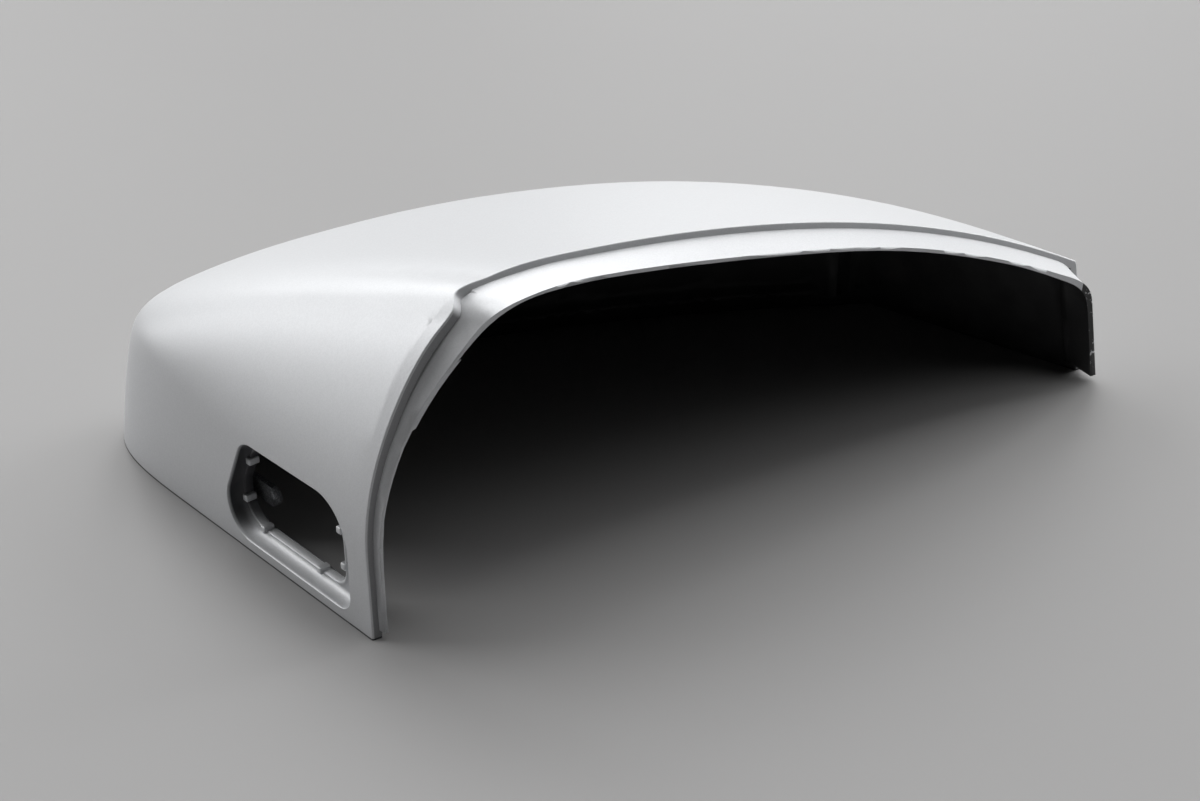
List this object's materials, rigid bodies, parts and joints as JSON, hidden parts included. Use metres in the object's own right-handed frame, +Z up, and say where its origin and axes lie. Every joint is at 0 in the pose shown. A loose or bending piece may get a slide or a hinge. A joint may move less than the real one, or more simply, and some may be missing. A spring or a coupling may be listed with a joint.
{
  "type": "wing mirror cover",
  "caption": "Moulded upper cover of a car door mirror: a curved shell with a stepped rear lip and a recessed lamp window in its side.",
  "frame": {"origin": "centre of the bounding box, on the plane of the parting edge", "axes": "+X along the rear opening from the window side to the far end, +Y towards the front, +Z up"},
  "size_m": [0.2534, 0.139, 0.0836],
  "materials": {
    "painted_shell": "satin silver paint outside, bare black moulding inside"
  },
  "bodies": {
    "root": {"mirror_cover": "painted_shell"}
  },
  "joints": []
}
